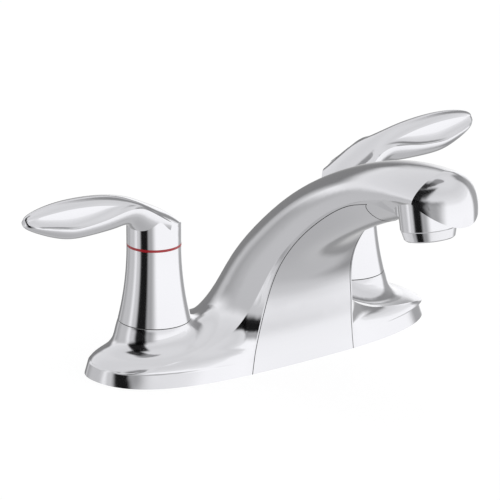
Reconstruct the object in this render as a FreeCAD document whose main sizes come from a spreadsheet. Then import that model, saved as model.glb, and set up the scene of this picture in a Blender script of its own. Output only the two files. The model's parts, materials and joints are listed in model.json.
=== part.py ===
"""Centerset bathroom faucet with two lever handles, in millimetres.

Frame: X runs along the base from the hot handle to the cold handle, -Y points to the user and
along the spout, +Z is up. Z = 0 is the face of the deck that the base stands on, and the origin
lies midway between the two handle axes.
"""
import FreeCAD, Part

import math
import os

import Sketcher

Vector = FreeCAD.Vector
Rotation = FreeCAD.Rotation
Placement = FreeCAD.Placement

doc = FreeCAD.newDocument("centerset_faucet")
sheet = doc.addObject("Spreadsheet::Sheet", "Sizes")

SIZES = [
    ("handle_spacing", 101.6, "distance between the two handle axes"),
    ("clearance", 0.05, "radial clearance of turned fits"),
    ("face_gap", 0.05, "gap between faces that turn on each other"),
    ("seam", 0.2, "hairline gap round the front panel"),
    ("wall", 2.2, "wall of the casting"),
    ("base_half_width", 82.4, "half the width of the base at the deck"),
    ("base_front", 35.0, "front of the base at the deck, from the handle axes"),
    ("base_back", 25.0, "back of the base at the deck, from the handle axes"),
    ("rim_height", 5.2, "height of the rim at the ends of the base"),
    ("boss_top_radius", 15.0, "radius of a handle boss at its top"),
    ("boss_height", 20.2, "top of a handle boss"),
    ("boss_waist_radius", 17.0, "radius of the boss at its waist"),
    ("boss_waist_height", 12.8, "height of the waist of the boss"),
    ("boss_foot_radius", 18.8, "radius of the boss inside the base"),
    ("boss_foot_height", 3.0, "height of the boss's foot inside the base"),
    ("boss_fillet", 8.5, "fillet between a boss and the base"),
    ("panel_foot_width", 27.3, "half width of the front panel at the deck"),
    ("panel_thickness", 2.4, "thickness of the front panel"),
    ("panel_bulge", 0.9, "crown of the front panel across its width"),
    ("panel_gap", 0.25, "gap behind the front panel"),
    ("panel_reach", 3.0, "how far the panel's blank stands out before it is cut to the body"),
    ("nose_reach", 138.4, "tip of the nose, from the handle axes"),
    ("nose_drop", 9.4, "how far the nose's tip hangs below the end of the spout"),
    ("outlet_reach", 116.0, "centre of the outlet, from the handle axes"),
    ("outlet_height", 75.5, "height of the centre of the outlet's rim"),
    ("outlet_tilt", 10.0, "lean of the stream, in degrees"),
    ("outlet_radius", 11.6, "radius of the outlet housing at its top"),
    ("outlet_tip_radius", 10.4, "radius of the outlet housing at its rim"),
    ("outlet_length", 17.5, "length of the outlet housing"),
    ("outlet_recess_radius", 13.2, "radius of the recess round the outlet"),
    ("outlet_recess_depth", 17.6, "height of the recess over the outlet's rim"),
    ("thread_radius", 10.4, "outer radius of the shank's thread"),
    ("tail_radius", 10.1, "radius of the shank's plain tail"),
    ("tail_top", -32.0, "where the plain tail of the shank begins"),
    ("shank_end", -52.0, "lower end of the shank"),
    ("inlet_radius", 6.0, "bore of the shank"),
    ("block_radius", 12.4, "radius of the valve block in the boss"),
    ("block_foot", 1.4, "underside of the valve block"),
    ("block_top", 13.0, "shoulder of the valve block under the boss"),
    ("neck_top", 25.4, "top of the valve body's neck"),
    ("chamber_radius", 8.2, "radius of the cartridge chamber"),
    ("chamber_floor", 4.0, "floor of the cartridge chamber"),
    ("seal_height", 1.6, "height of the seat seal"),
    ("seal_bore", 5.0, "bore of the seat seal"),
    ("disc_radius", 6.4, "radius of the ceramic discs"),
    ("disc_height", 2.5, "thickness of a ceramic disc"),
    ("stem_radius", 4.0, "radius of the stem"),
    ("driver_height", 2.2, "height of the stem's driver flange"),
    ("stem_top", 62.0, "top of the stem"),
    ("neck_radius", 7.0, "radius of the cartridge's neck"),
    ("cartridge_flange", 2.0, "height of the cartridge's flange"),
    ("cartridge_top", 36.0, "top of the cartridge's neck"),
    ("stem_seal_height", 30.0, "foot of the groove for the stem's seal"),
    ("stem_seal_width", 2.4, "width of the groove for the stem's seal"),
    ("stem_groove_depth", 1.0, "depth of the groove for the stem's seal"),
    ("bonnet_radius", 11.4, "outer radius of the bonnet nut"),
    ("bonnet_lip", 1.8, "height of the bonnet nut's lip"),
    ("skirt_gap", 0.4, "gap between the boss and the turning skirt"),
    ("skirt_foot_radius", 15.0, "radius of the skirt at its foot"),
    ("hub_radius", 11.3, "radius of the handle's hub"),
    ("skirt_top", 52.3, "top of the skirt"),
    ("skirt_wall", 1.6, "wall of the skirt"),
    ("skirt_swing", 136.8, "radius of the skirt's outline"),
    ("skirt_web", 2.4, "thickness of the web in the skirt"),
    ("spigot_depth", 4.0, "depth of the lever's spigot in the skirt"),
    ("spigot_radius", 9.2, "radius of the lever's spigot"),
    ("ring_height", 1.1, "height of the index ring"),
    ("lever_reach", 65.3, "tip of the lever, from the handle's axis"),
    ("lever_crown", 80.2, "highest point of the lever"),
    ("lever_half_width", 8.9, "half width of the lever"),
    ("screw_height", 58.2, "height of the set screw"),
    ("screw_radius", 2.0, "radius of the set screw"),
    ("deck_thickness", 13.0, "thickness of the deck that the shanks pass through"),
    ("washer_radius", 18.0, "radius of the mounting washer"),
    ("washer_height", 2.0, "thickness of the mounting washer"),
    ("nut_radius", 17.5, "corner radius of the mounting nut"),
    ("nut_height", 9.0, "height of the mounting nut"),
    ("tube_radius", 3.6, "outer radius of a crossover tube"),
    ("tube_bore", 2.6, "bore of a crossover tube"),
    ("tube_height", 6.2, "height of the crossover tubes"),
    ("tee_radius", 9.0, "radius of the mixing tee"),
    ("tee_foot", 1.6, "underside of the mixing tee"),
    ("tee_top", 14.0, "top of the mixing tee"),
    ("spout_tube_radius", 3.6, "outer radius of the spout tube"),
    ("spout_tube_bore", 2.8, "bore of the spout tube"),
    ("socket_radius", 8.6, "radius of the outlet socket over its shoulder"),
    ("socket_height", 9.0, "height of the outlet socket over its shoulder"),
    ("socket_bore", 5.6, "bore of the outlet socket"),
    ("nipple_length", 6.5, "length of the socket's nipple under its shoulder"),
    ("housing_wall", 1.4, "wall of the outlet housing"),
    ("housing_lip", 1.2, "how far the lip of the outlet housing reaches inward"),
    ("housing_inset", 2.2, "how far the outlet's face lies inside its rim"),
    ("housing_taper", 4.2, "height of the tapered foot of the outlet housing"),
    ("insert_height", 7.1, "height of the outlet insert"),
    ("insert_hole", 0.9, "radius of a hole in the outlet insert"),
    ("washer_seat", 1.6, "thickness of the outlet washer"),
    ("gasket_height", 1.2, "thickness of the deck gasket"),
    ("gasket_inset", 3.6, "how far the gasket lies inside the outline of the base"),
]

for row, (alias, value, note) in enumerate(SIZES, start=1):
    sheet.set("A%d" % row, alias)
    sheet.set("B%d" % row, str(value))
    sheet.set("C%d" % row, note)
    sheet.setAlias("B%d" % row, alias)
doc.recompute()


def size(name):
    """The number in the sheet that has this alias."""
    return float(sheet.get(name))


def number(text):
    """The value of an expression in which each $word is a cell of the sheet."""
    sheet.set("F1", "=" + text.replace("$", ""))
    sheet.recompute()
    value = sheet.get("F1")
    return float(getattr(value, "Value", value))


def expr(text):
    """An expression in which each $word is a cell of the sheet."""
    return text.replace("$", "Sizes.")


parts = []


def keep(obj, label):
    """Give a finished sub-part its name and add it to the list that is written out."""
    obj.Label = label
    parts.append(obj)
    return obj


# Turned pieces

def lathe(name, corners, arcs=None):
    """A body turned about its Z axis from a closed profile of (radius, height) expressions.

    A radius of None leaves that corner to the arc which ends there. arcs maps the index of a
    corner to the centre (radius, height, turn) of the arc from it to the next corner.
    """
    arcs = arcs or {}
    body = doc.addObject("PartDesign::Body", name + "_body")
    sketch = body.newObject("Sketcher::SketchObject", name + "_profile")
    plane = [f for f in body.Origin.OriginFeatures if f.Role == "XZ_Plane"][0]
    sketch.AttachmentSupport = [(plane, "")]
    sketch.MapMode = "FlatFace"
    points = []
    for index, (radius, height) in enumerate(corners):
        if radius is None:
            centre = arcs[index - 1]
            reach = math.hypot(points[-1][0] - number(centre[0]), points[-1][1] - number(centre[1]))
            rise = number(height) - number(centre[1])
            side = -1 if points[-1][0] < number(centre[0]) else 1
            points.append((number(centre[0]) + side * math.sqrt(reach ** 2 - rise ** 2), number(height)))
        else:
            points.append((number(radius), number(height)))
    count = len(points)
    ends = []
    for index in range(count):
        start = Vector(points[index][0], points[index][1], 0)
        end = Vector(points[(index + 1) % count][0], points[(index + 1) % count][1], 0)
        if index in arcs:
            centre = Vector(number(arcs[index][0]), number(arcs[index][1]), 0)
            first = math.atan2(start.y - centre.y, start.x - centre.x)
            last = math.atan2(end.y - centre.y, end.x - centre.x)
            circle = Part.Circle(centre, Vector(0, 0, 1), (start - centre).Length)
            if arcs[index][2] == "ccw":
                sketch.addGeometry(Part.ArcOfCircle(circle, first, last))
                ends.append((1, 2))
            else:
                sketch.addGeometry(Part.ArcOfCircle(circle, last, first))
                ends.append((2, 1))
        else:
            sketch.addGeometry(Part.LineSegment(start, end))
            ends.append((1, 2))
    for index in range(count):
        after = (index + 1) % count
        sketch.addConstraint(
            Sketcher.Constraint("Coincident", index, ends[index][1], after, ends[after][0]))

    def pin(kind, geometry, point, text):
        index = sketch.addConstraint(
            Sketcher.Constraint(kind, -1, 1, geometry, point, number(text)))
        sketch.setExpression("Constraints[%d]" % index, expr(text))

    for index, (radius, height) in enumerate(corners):
        if radius == "0":
            sketch.addConstraint(Sketcher.Constraint("PointOnObject", index, ends[index][0], -2))
        elif radius is not None:
            pin("DistanceX", index, ends[index][0], radius)
        pin("DistanceY", index, ends[index][0], height)
    for index, (radius, height, _) in arcs.items():
        pin("DistanceX", index, 3, radius)
        pin("DistanceY", index, 3, height)
    turned = body.newObject("PartDesign::Revolution", name + "_turned")
    turned.Profile = sketch
    turned.ReferenceAxis = (sketch, ["V_Axis"])
    turned.Angle = 360.0
    body.Tip = turned
    return body


def stand(obj, x="0", y="0", z="0"):
    """Bind the place of a piece to the sheet."""
    obj.setExpression("Placement.Base.x", expr(x))
    obj.setExpression("Placement.Base.y", expr(y))
    obj.setExpression("Placement.Base.z", expr(z))
    return obj


def cylinder(name, radius, height, x="0", y="0", z="0", turn=None):
    """A Part cylinder whose size and place are bound to the sheet."""
    rod = doc.addObject("Part::Cylinder", name)
    rod.setExpression("Radius", expr(radius))
    rod.setExpression("Height", expr(height))
    if turn is not None:
        rod.Placement = Placement(Vector(0, 0, 0), turn)
    return stand(rod, x, y, z)


def cut(name, base, tool):
    """One piece less another."""
    result = doc.addObject("Part::Cut", name)
    result.Base = base
    result.Tool = tool
    return result


ALONG_X = Rotation(Vector(0, 1, 0), 90)
ALONG_Y = Rotation(Vector(1, 0, 0), -90)


# Sections of the casting

def superellipse(half_width, depth, exponent, turn):
    """Sideways and depthwise offsets of a point on a superellipse at an angle in radians."""
    across = abs(math.cos(turn)) ** (2.0 / exponent) * math.copysign(1, math.cos(turn))
    along = abs(math.sin(turn)) ** (2.0 / exponent) * math.copysign(1, math.sin(turn))
    return half_width * across, depth * along


def smooth(points):
    """One smooth edge through the points."""
    curve = Part.BSplineCurve()
    curve.interpolate(points)
    return curve.toShape()


class Station:
    """One section of the casting, from the rim of the base to the nose.

    edge is the crease between the front wall and the rounded back, at (half width, y, z). belly is
    the widest half width and its y, where the section widens behind the crease. back is the (y, z)
    of the middle of the back, which sets the depth and the lean of the section. seam is the half
    width and y of the panel's side, keel how far the front crowns beyond it, and corner the
    (half width, y) that rounds the front wall between the crease and the seam.
    """

    def __init__(self, edge, back, exponent, seam, keel, belly=None, corner=None):
        self.edge = edge
        self.depth = math.hypot(back[0] - edge[1], back[1] - edge[2])
        self.tilt = math.atan2(back[1] - edge[2], back[0] - edge[1])
        self.middle = back
        self.exponent = exponent
        self.seam = seam
        self.keel = keel
        self.belly = belly or (edge[0], edge[1])
        self.corner = corner or ((edge[0] + seam[0]) / 2, (edge[1] + seam[1]) / 2)

    def lift(self, x, offset):
        """A point at x, offset behind the crease line in the leaning plane of the section."""
        return Vector(x, self.edge[1] + offset * math.cos(self.tilt),
                      self.edge[2] + offset * math.sin(self.tilt))

    def back(self, count=24):
        """The rounded back from the right crease round to the left one."""
        half, middle = self.belly
        ratio = min(1.0, self.edge[0] / half)
        first = -math.acos(ratio ** (self.exponent / 2.0))
        offset = middle - self.edge[1]
        front_depth = offset / abs(math.sin(first)) ** (2.0 / self.exponent) if first else 0.0
        points = []
        for step in range(count + 1):
            turn = first + (math.pi - 2 * first) * step / count
            depth = front_depth if math.sin(turn) < 0 else self.depth - offset
            across, along = superellipse(half, depth, self.exponent, turn)
            points.append(self.lift(across, offset + along))
        points[0] = self.lift(self.edge[0], 0)
        points[-1] = self.lift(-self.edge[0], 0)
        return smooth(points)

    def wall(self, side, count=8):
        """The front wall from a crease to the panel's side, right (1) or left (-1)."""
        points = []
        for step in range(count + 1):
            share = step / count
            weights = ((1 - share) ** 2, 2 * share * (1 - share), share ** 2)
            across = sum(w * p[0] for w, p in zip(weights, (self.edge, self.corner, self.seam)))
            along = sum(w * p[1] for w, p in zip(weights, (self.edge, self.corner, self.seam)))
            points.append(self.lift(side * across, along - self.edge[1]))
        if side > 0:
            points.reverse()
        return smooth(points)

    def front(self, count=12):
        """The front across the panel, crowned by the keel."""
        points = []
        for step in range(count + 1):
            across = self.seam[0] * (2.0 * step / count - 1)
            crown = self.keel * (1 - (across / self.seam[0]) ** 2)
            points.append(self.lift(across, self.seam[1] - self.edge[1] - crown))
        return smooth(points)

    def wire(self):
        """The closed section: back, left wall, front, right wall."""
        return Part.Wire([self.back(), self.wall(-1), self.front(), self.wall(1)])


def panel_y(height):
    """y of the panel's side at a height on the upright part of the body."""
    return 0.7 - size("base_front") - 0.0041 * height ** 2


def body_stations():
    """The sections of the casting from the base's rim to the end of the spout."""
    half = size("base_half_width")
    rim = size("rim_height")
    back = size("base_back") - 0.4
    bulge = size("panel_bulge")
    base = [
        # crease (x, y), rise over the rim, belly (x, y), back y, seam half width, corner (x, y)
        ((half - 1.5, -3.5), 0.0, (half - 1.4, -2.0), back, 26.5, (0.971 * half, -27.0)),
        ((half - 3.2, -11.5), 0.7, (half - 2.2, -1.8), back - 0.2, 26.4, (0.934 * half, -26.6)),
        ((0.898 * half, -18.8), 1.7, (0.954 * half, -1.0), back - 0.6, 26.3, (0.862 * half, -26.2)),
        ((0.813 * half, -22.9), 3.3, (0.904 * half, -1.0), back - 1.3, 26.1, (0.728 * half, -26.8)),
        ((0.704 * half, -25.4), 4.8, (0.801 * half, -1.0), back - 2.3, 25.9, (0.595 * half, -27.6)),
        ((0.597 * half, -26.4), 6.1, (0.655 * half, -3.0), back - 3.5, 25.7, (0.498 * half, -28.2)),
    ]
    stations = []
    for (x, y), rise, belly, back_y, seam, corner in base:
        exponent = 2.7 - 0.065 * rise
        z = rim + rise
        stations.append(Station((x, y, z), (back_y, z), exponent, (seam, panel_y(z)), bulge,
                                belly, corner))
    column = [
        # crease (x, y, z), back (y, z), exponent, seam (x, y), keel
        ((40.6, -26.7, 13.2), (20.0, 13.2), 2.2, (25.4, panel_y(13.2)), bulge),
        ((33.2, -27.6, 16.7), (18.1, 16.7), 2.15, (24.9, panel_y(16.7)), bulge),
        ((27.6, -29.4, 22.5), (14.7, 23.0), 2.1, (24.1, panel_y(22.5)), bulge),
        ((22.9, -34.2, 34.8), (3.8, 40.0), 2.1, (22.0, -38.3), bulge),
        ((20.9, -41.3, 48.0), (-14.4, 59.0), 2.1, (20.3, -43.1), 2.0),
        ((19.9, -54.6, 63.2), (-38.0, 77.4), 2.1, (19.5, -55.1), 6.0),
        ((19.1, -69.7, 76.0), (-60.5, 90.0), 2.05, (18.7, -70.0), 9.2),
        ((18.5, -87.0, 86.0), (-82.6, 98.9), 1.97, (18.1, -87.2), 10.8),
        ((17.8, -106.0, 92.4), (-104.6, 104.2), 1.8, (17.4, -106.1), 9.0),
        ((16.5, -124.2, 95.2), (-125.2, 106.1), 1.62, (16.1, -124.2), 1.0),
    ]
    for edge, middle, exponent, seam, keel in column:
        stations.append(Station(edge, middle, exponent, seam, keel))
    return stations


def foot_station():
    """The outline of the base where it stands on the deck."""
    half = size("base_half_width")
    return Station((half, -1.2, 0.0), (size("base_back"), 0.0), 2.7,
                   (size("panel_foot_width"), panel_y(0)), 0.7, None, (half - 0.4, -31.0))


def nose_stations(last):
    """Sections of the nose, from the end of the spout to its tip, drawn in like a dome."""
    start_x, start_y, start_z = last.edge
    height = last.depth
    length = size("nose_reach") + start_y
    drop = size("nose_drop")
    result = [last]
    for share in (0.3, 0.56, 0.77, 0.92, 0.99):
        y = start_y - share * length
        half = start_x * (1 - share ** 1.2) ** 0.5
        low = start_z - drop * share
        top = start_z - drop + (height + drop) * (1 - share ** 2.4) ** (1 / 2.4)
        result.append(Station((half, y, low), (y, top), 1.62 + 0.5 * share, (half * 0.96, y), 0.0))
    return result


def strip(station, half, outward, inward):
    """A section across the panel: from its front pushed outward to its back pushed inward."""
    count = 10
    y = station.seam[1] - station.edge[1]
    outer, inner = [], []
    for step in range(count + 1):
        share = 2.0 * step / count - 1
        crown = station.keel * (1 - share ** 2)
        outer.append(station.lift(half * share, y - crown - outward))
        inner.append(station.lift((half - 1.4 * inward / size("panel_thickness")) * share,
                                  y - crown + inward))
    inner.reverse()
    right = Part.LineSegment(outer[-1], inner[0]).toShape()
    left = Part.LineSegment(inner[-1], outer[0]).toShape()
    return Part.Wire([smooth(outer), right, smooth(inner), left])


def inner_station(station, wall):
    """The same section on the inside of the wall."""
    x, y, z = station.edge
    sink = wall * max(0.0, 1.0 - max(0.0, z - 13.0) / 20.0)
    lean = station.tilt
    back_y = station.middle[0] - wall * math.cos(lean)
    back_z = station.middle[1] - wall * math.sin(lean) - sink
    seam = (station.seam[0] - wall, station.seam[1] + wall)
    corner = (station.corner[0] - wall, station.corner[1] + wall)
    edge = (x - wall, y + wall * 0.8 * math.cos(lean), z - sink + wall * 0.8 * math.sin(lean))
    belly = (station.belly[0] - wall, max(station.belly[1], edge[1]))
    return Station(edge, (back_y, back_z), station.exponent, seam, station.keel, belly, corner)


def solid_of(shape):
    """The one solid that a boolean operation left."""
    solids = sorted(shape.Solids, key=lambda s: s.Volume)
    return solids[-1]


# The casting and its cover

wall = size("wall")
half_spacing = size("handle_spacing") / 2
stations = body_stations()
foot = foot_station()
main = Part.makeLoft([s.wire() for s in stations], True, False)
rim = Part.makeLoft([foot.wire(), stations[0].wire()], True, True)
nose = Part.makeLoft([s.wire() for s in nose_stations(stations[-1])], True, False)


def boss(x):
    """A handle boss, slim at the top and wider where it enters the base."""
    top_r, top_z = size("boss_top_radius"), size("boss_height")
    waist_r, waist_z = size("boss_waist_radius"), size("boss_waist_height")
    foot_r, foot_z = size("boss_foot_radius"), size("boss_foot_height")
    points = [Vector(top_r, 0, top_z)]
    for out, down in ((0.375, 0.3), (0.7, 0.66), (1.0, 1.0)):
        points.append(Vector(top_r + out * (waist_r - top_r), 0, top_z - down * (top_z - waist_z)))
    for out, down in ((0.44, 0.39), (1.0, 1.0)):
        points.append(Vector(waist_r + out * (foot_r - waist_r), 0,
                             waist_z - down * (waist_z - foot_z)))
    corners = [points[-1], Vector(0, 0, foot_z), Vector(0, 0, top_z), points[0]]
    lines = [Part.LineSegment(a, b).toShape() for a, b in zip(corners, corners[1:])]
    face = Part.Face(Part.Wire([smooth(points)] + lines))
    solid = face.revolve(Vector(0, 0, 0), Vector(0, 0, 1), 360)
    solid.translate(Vector(x, 0, 0))
    return solid


def boss_seams(shape):
    """The edges where the bosses meet the base."""
    near = size("boss_top_radius") + 0.2
    far = size("boss_foot_radius") + 1.7
    high = size("boss_height") - 0.7
    seams = []
    for edge in shape.Edges:
        points = edge.discretize(24)
        reach = [math.hypot(abs(p.x) - half_spacing, p.y) for p in points]
        if near < min(reach) and max(reach) < far and max(p.z for p in points) < high:
            seams.append(edge)
    return seams


outer = rim.fuse([main, nose, boss(-half_spacing), boss(half_spacing)])
outer = solid_of(outer.removeSplitter())
fillet_room = size("boss_height") - size("rim_height")
outer = solid_of(outer.makeFillet(min(size("boss_fillet"), 0.6 * fillet_room), boss_seams(outer)))

outlet_lean = math.radians(size("outlet_tilt"))
outlet_up = Vector(0, math.sin(outlet_lean), math.cos(outlet_lean))
outlet_foot = Vector(0, -size("outlet_reach"), size("outlet_height"))


def outlet_rod(radius, start, length):
    """A rod on the outlet's axis, from a distance over the outlet's rim."""
    return Part.makeCylinder(radius, length, outlet_foot + outlet_up * start, outlet_up)


recess = outlet_rod(size("outlet_recess_radius"), -10.0, 10.0 + size("outlet_recess_depth"))
socket_room = outlet_rod(size("socket_radius") + size("clearance"), 0.0,
                         size("outlet_recess_depth") + size("socket_height") + 0.1)

outlet_y, outlet_z = outlet_foot.y, outlet_foot.z
SPOUT_ROUTE = [(0.0, 11.0), (0.0, 24.0), (0.138 * outlet_y, 44.0), (0.379 * outlet_y, 69.0),
               (0.655 * outlet_y, outlet_z + 12.5), (outlet_y + 10.7, outlet_z + 20.2)]


def rounded_route(points, radius):
    """Straight runs joined by arcs that touch them."""
    points = [Vector(0, y, z) for y, z in points]
    edges = []
    start = points[0]
    for before, corner, after in zip(points, points[1:], points[2:]):
        back_way = (before - corner).normalize()
        on_way = (after - corner).normalize()
        turn = back_way.getAngle(on_way)
        reach = radius / math.tan(turn / 2)
        touch = corner + back_way * reach
        leave = corner + on_way * reach
        middle_way = (back_way + on_way).normalize()
        middle = corner + middle_way * (radius / math.sin(turn / 2) - radius)
        edges.append(Part.LineSegment(start, touch).toShape())
        edges.append(Part.Arc(touch, middle, leave).toShape())
        start = leave
    edges.append(Part.LineSegment(start, points[-1]).toShape())
    return Part.Wire(edges)


def piped(route, radius):
    """A round rod along a route."""
    start = route.Edges[0].Vertexes[0].Point
    way = route.Edges[0].tangentAt(route.Edges[0].FirstParameter)
    ring = Part.Wire([Part.makeCircle(radius, start, way)])
    return route.makePipeShell([ring], True, False)


route = rounded_route(SPOUT_ROUTE, 12.0)
end_way = (Vector(0, *SPOUT_ROUTE[-1]) - Vector(0, *SPOUT_ROUTE[-2])).normalize()
tube_end = Vector(0, *SPOUT_ROUTE[-1])
tube_room = Part.makeCylinder(size("spout_tube_radius") + size("clearance"), 8.0,
                              tube_end - end_way * 6.0, end_way)


def duct_ring(station):
    """A round section of the hollow spout, in the leaning plane of a station."""
    keel_room = 0.6 * station.keel if station.keel > 1.0 else 0.0
    front = wall + 1.2 - keel_room
    back = station.depth - wall - 0.4
    width = 0.86 * (station.edge[0] - wall)
    edges = []
    for half in (0, 1):
        points = []
        for step in range(13):
            turn = math.pi * (half + step / 12)
            across, along = superellipse(width, (back - front) / 2, 2.0, turn)
            points.append(station.lift(across, (back + front) / 2 + along))
        edges.append(smooth(points))
    return Part.Wire(edges)


inner = [inner_station(s, wall) for s in stations[:9]]
below = inner_station(foot, wall)
below.edge = (below.edge[0], below.edge[1], -1.0)
cavity_main = Part.makeLoft([s.wire() for s in inner], True, False)
cavity_rim = Part.makeLoft([below.wire(), inner[0].wire()], True, True)
cavity_duct = Part.makeLoft([duct_ring(s) for s in stations[6:15]], True, False)
cavities = [cavity_main, cavity_rim, cavity_duct]
for x in (-half_spacing, half_spacing):
    cavities.append(Part.makeCylinder(size("block_radius") + 1.2, size("block_top") + 1.0,
                                      Vector(x, 0, -1.0)))
    cavities.append(Part.makeCylinder(size("thread_radius") + size("clearance"),
                                      size("boss_height"), Vector(x, 0, 1.0)))

below_foot = foot_station()
below_foot.edge = (below_foot.edge[0], below_foot.edge[1], -1.0)
panel_stations = [below_foot] + stations[:-1]


def panel_block(side, outward, inward):
    """The room of the panel, widened at its sides."""
    wires = [strip(s, s.seam[0] + side, outward, inward) for s in panel_stations]
    return Part.makeLoft(wires, True, False)


seam = size("seam")
thickness = size("panel_thickness")
panel_reach = size("panel_reach")
panel_room = panel_block(seam, panel_reach, thickness + size("panel_gap"))
panel_plate = panel_block(-size("clearance"), panel_reach, thickness)

body_shape = outer
for tool in cavities + [panel_room, recess, socket_room, tube_room]:
    body_shape = body_shape.cut(tool)
body_shape = solid_of(body_shape)
casting = doc.addObject("Part::Feature", "casting")
casting.Shape = body_shape
keep(casting, "faucet_body")

panel_shape = solid_of(outer.common(panel_plate).cut(recess))
cover = doc.addObject("Part::Feature", "cover")
cover.Shape = panel_shape
keep(cover, "front_panel")

# Handles: hub, lever, skirt and ring

def lever_section(u, ridge, edge, lip, under, arch, hollow):
    """A section across the lever at a distance u from the handle's axis.

    ridge is the height of the rounded top, edge the (half width, height) where it ends, lip the
    (half width, height) of the wider lower edge and under the height of the underside. arch sets
    how full the top is. hollow is the share of a hollow quarter round in the flank between edge
    and lip, against a straight one; below zero the flank bulges.
    """
    def at(v, z):
        return Vector(u, v, z)

    flank = []
    for step in range(7):
        straight = step / 6
        turn = math.pi / 2 * straight
        out = straight + hollow * (1 - math.cos(turn) - straight)
        down = straight + hollow * (math.sin(turn) - straight)
        flank.append((edge[0] + out * (lip[0] - edge[0]), edge[1] + down * (lip[1] - edge[1])))
    top = []
    for step in range(9):
        across = edge[0] * (1 - step / 4.0)
        top.append(at(across, edge[1] + (ridge - edge[1]) * (1 - (across / edge[0]) ** 2) ** arch))
    left = smooth([at(-v, z) for v, z in flank])
    right = smooth([at(v, z) for v, z in reversed(flank)])
    belly = []
    for step in range(13):
        turn = math.pi * step / 12
        across, down = superellipse(lip[0], lip[1] - under, 2.3, turn)
        belly.append(at(-across, lip[1] - down))
    return Part.Wire([smooth(top), left, smooth(belly), right])


def handle_top(back):
    """The hub over the index ring with the lever that grows out of it, pointing along +X.

    back is the side of the set screw: 1 for +Y, -1 for -Y.
    """
    hub = size("hub_radius")
    reach = size("lever_reach")
    crown = size("lever_crown")
    wide = size("lever_half_width")
    foot = size("skirt_top") + size("ring_height")
    rows = [
        # distance from the axis, then below the crown: ridge, edge, lip and underside, widths of
        # the edge and of the lip against the hub, arch of the top, hollow of the flank
        (-1.06 * hub, 20.5, 22.6, 23.2, 29.5, 1.016, 1.079, 0.62, -0.2),
        (-0.37 * hub, 13.9, 17.3, 18.2, 26.5, 0.945, 1.025, 0.62, -0.2),
        (0.27 * hub, 9.8, 12.5, 13.4, 24.0, 0.866, 0.978, 0.62, -0.1),
        (0.80 * hub, 6.8, 8.6, 9.4, 21.3, 0.709, 0.835, 0.65, 0.1),
    ]
    rows = [row[:5] + (hub * row[5], hub * row[6]) + row[7:] for row in rows]
    for share, *row in (
            # share of the way from the hub's wall to the tip, then the same, with the widths
            # against the lever's half width
            (0.07, 4.3, 6.5, 7.3, 16.1, 0.69, 1.04, 0.70, 0.4),
            (0.20, 2.3, 5.5, 7.6, 15.9, 0.59, 1.04, 0.78, 0.8),
            (0.35, 0.9, 4.1, 9.1, 16.3, 0.54, 1.02, 0.82, 1.0),
            (0.50, 0.2, 3.2, 9.9, 16.4, 0.51, 0.98, 0.85, 1.1),
            (0.64, 0.0, 2.9, 10.0, 15.8, 0.46, 0.93, 0.85, 1.1),
            (0.77, 0.4, 3.1, 8.8, 13.8, 0.41, 0.83, 0.85, 1.0),
            (0.885, 1.4, 3.7, 7.6, 11.2, 0.34, 0.67, 0.80, 0.7),
            (0.95, 2.4, 4.4, 6.7, 9.4, 0.27, 0.49, 0.70, 0.2),
            (0.985, 3.4, 4.7, 6.0, 8.0, 0.18, 0.29, 0.60, -0.2),
            (0.999, 4.4, 5.0, 5.6, 6.7, 0.06, 0.10, 0.60, -0.2)):
        row[4:6] = [wide * row[4], wide * row[5]]
        rows.append([hub + share * (reach - hub)] + row)
    wires = []
    for u, ridge, edge, lip, under, edge_width, lip_width, arch, hollow in rows:
        wires.append(lever_section(u, crown - ridge, (edge_width, crown - edge),
                                   (lip_width, crown - lip), crown - under, arch, hollow))
    blade = Part.makeLoft(wires, True, False)
    keep_in = Part.makeCylinder(hub, crown, Vector(0, 0, foot))
    keep_in = keep_in.fuse(Part.makeBox(reach, 4 * wide, crown, Vector(0, -2 * wide, foot)))
    roof = [Vector(row[0], -2 * wide, crown - row[3] - 0.3) for row in rows[:5]]
    roof += [Vector(rows[4][0], -2 * wide, foot), Vector(rows[0][0], -2 * wide, foot)]
    under_lips = Part.Face(Part.makePolygon(roof + roof[:1])).extrude(Vector(0, 4 * wide, 0))
    stub = Part.makeCylinder(hub, crown - foot, Vector(0, 0, foot)).common(under_lips)
    body = solid_of(blade.common(keep_in).fuse(stub))
    spigot = Part.makeCylinder(size("spigot_radius"), foot - size("skirt_top") + size("spigot_depth"),
                               Vector(0, 0, size("skirt_top") - size("spigot_depth")))
    body = body.fuse(spigot)
    stem_hole = Part.makeCylinder(size("stem_radius") + size("clearance"), size("stem_top") + 0.3,
                                  Vector(0, 0, 0))
    screw_hole = Part.makeCylinder(size("screw_radius") + size("clearance"), 2 * hub,
                                   Vector(0, 0, size("screw_height")), Vector(0, back, 0))
    return solid_of(body.cut(stem_hole).cut(screw_hole))


def skirt(name, x):
    """The flared lower part of a handle: a turned shell with a web under the index ring."""
    wall_text = "$skirt_wall"
    foot = "$boss_height + $skirt_gap"
    far = "$hub_radius + $skirt_swing"
    corners = [
        ("$skirt_foot_radius", foot),
        (None, "$skirt_top"),
        ("$spigot_radius + $clearance", "$skirt_top"),
        ("$spigot_radius + $clearance", "$skirt_top - $spigot_depth"),
        ("$stem_radius + $clearance", "$skirt_top - $spigot_depth"),
        ("$stem_radius + $clearance", "$skirt_top - $spigot_depth - $skirt_web"),
        ("$hub_radius - " + wall_text, "$skirt_top - $spigot_depth - $skirt_web"),
        ("$skirt_foot_radius - " + wall_text, foot),
    ]
    piece = lathe(name, corners, {0: (far, "$skirt_top", "cw")})
    return stand(piece, x)


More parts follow.
